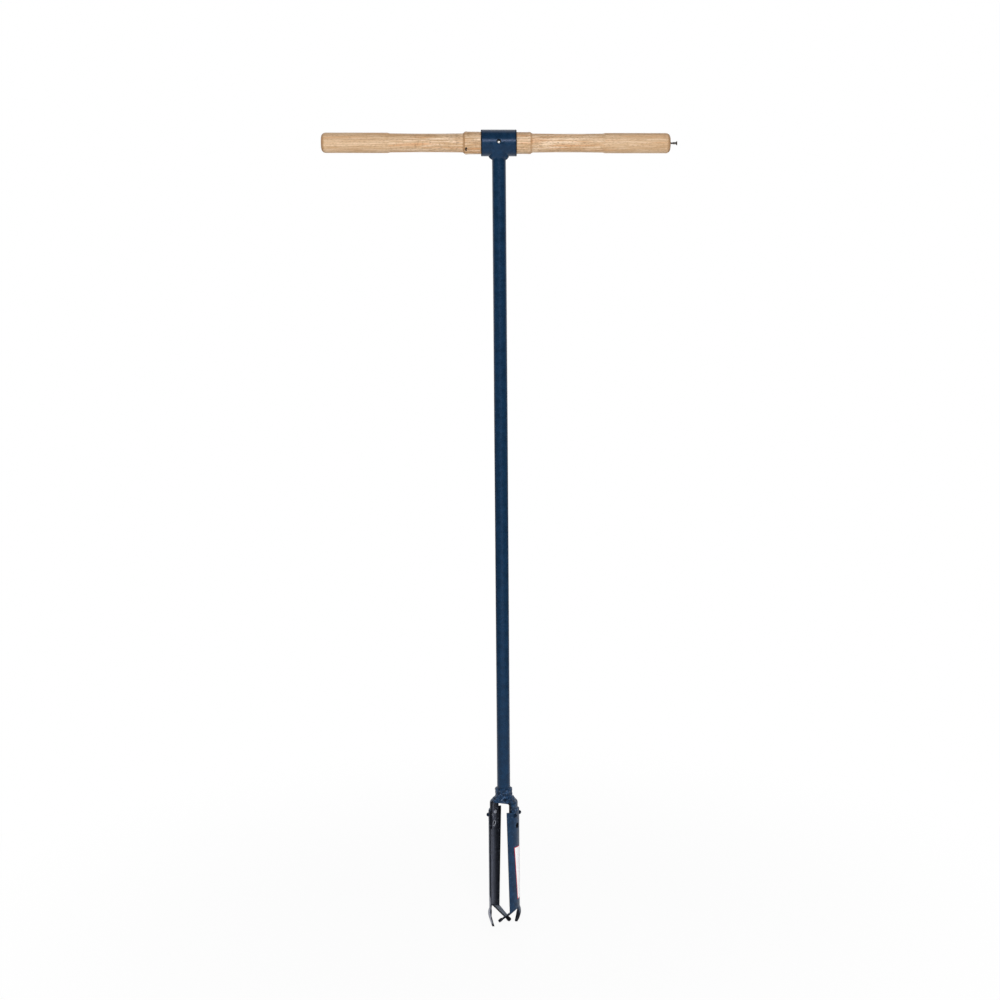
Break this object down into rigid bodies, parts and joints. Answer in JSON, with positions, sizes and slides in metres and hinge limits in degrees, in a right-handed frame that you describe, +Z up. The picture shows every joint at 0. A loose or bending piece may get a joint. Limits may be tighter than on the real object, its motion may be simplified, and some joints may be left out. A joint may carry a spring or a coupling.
{
  "type": "hand earth auger",
  "caption": "T-handled hand earth auger: a turned wooden cross handle in a steel collar, a long tube and a riveted head of curved blades with cutting lips and prongs.",
  "frame": {"origin": "on the shaft's axis, level with the tip of the lower prong, where the tool meets the ground", "axes": "+Z up along the shaft, X along the cross handle, -Y towards the front of the picture"},
  "size_m": [0.57, 0.0518, 1.3462],
  "materials": {
    "handle_wood": "clear lacquer",
    "screw_steel": "dull zinc",
    "navy_paint": "powder coat",
    "yoke_paint": "powder coat",
    "blade_paint": "powder coat",
    "weld_paint": "powder coat",
    "rivet_paint": "powder coat",
    "label_paper": "coated paper"
  },
  "bodies": {
    "auger": {"handle_collar": "navy_paint", "shaft_tube": "navy_paint", "socket_sleeve": "navy_paint", "yoke": "yoke_paint", "blade_front": "blade_paint", "blade_rear": "blade_paint", "blade_label": "label_paper", "collar_weld": "weld_paint", "sleeve_weld": "weld_paint", "yoke_weld": "weld_paint", "front_blade_weld": "weld_paint", "rear_blade_weld": "weld_paint", "front_rivet_leading": "rivet_paint", "front_rivet_trailing": "rivet_paint", "front_rivet_flush": "rivet_paint", "rear_rivet_leading": "rivet_paint", "rear_rivet_trailing": "rivet_paint", "rear_rivet_flush": "rivet_paint"},
    "handle": {"cross_handle": "handle_wood"},
    "screw": {"handle_screw": "screw_steel"}
  },
  "joints": [
    {"name": "handle_slide", "type": "slide", "parent": "auger", "child": "handle", "axis": [1, 0, 0], "range_m": [-0.305, 0.0207]},
    {"name": "screw_draw", "type": "slide", "parent": "handle", "child": "screw", "axis": [1, 0, 0], "range_m": [0, 0.0215]}
  ]
}
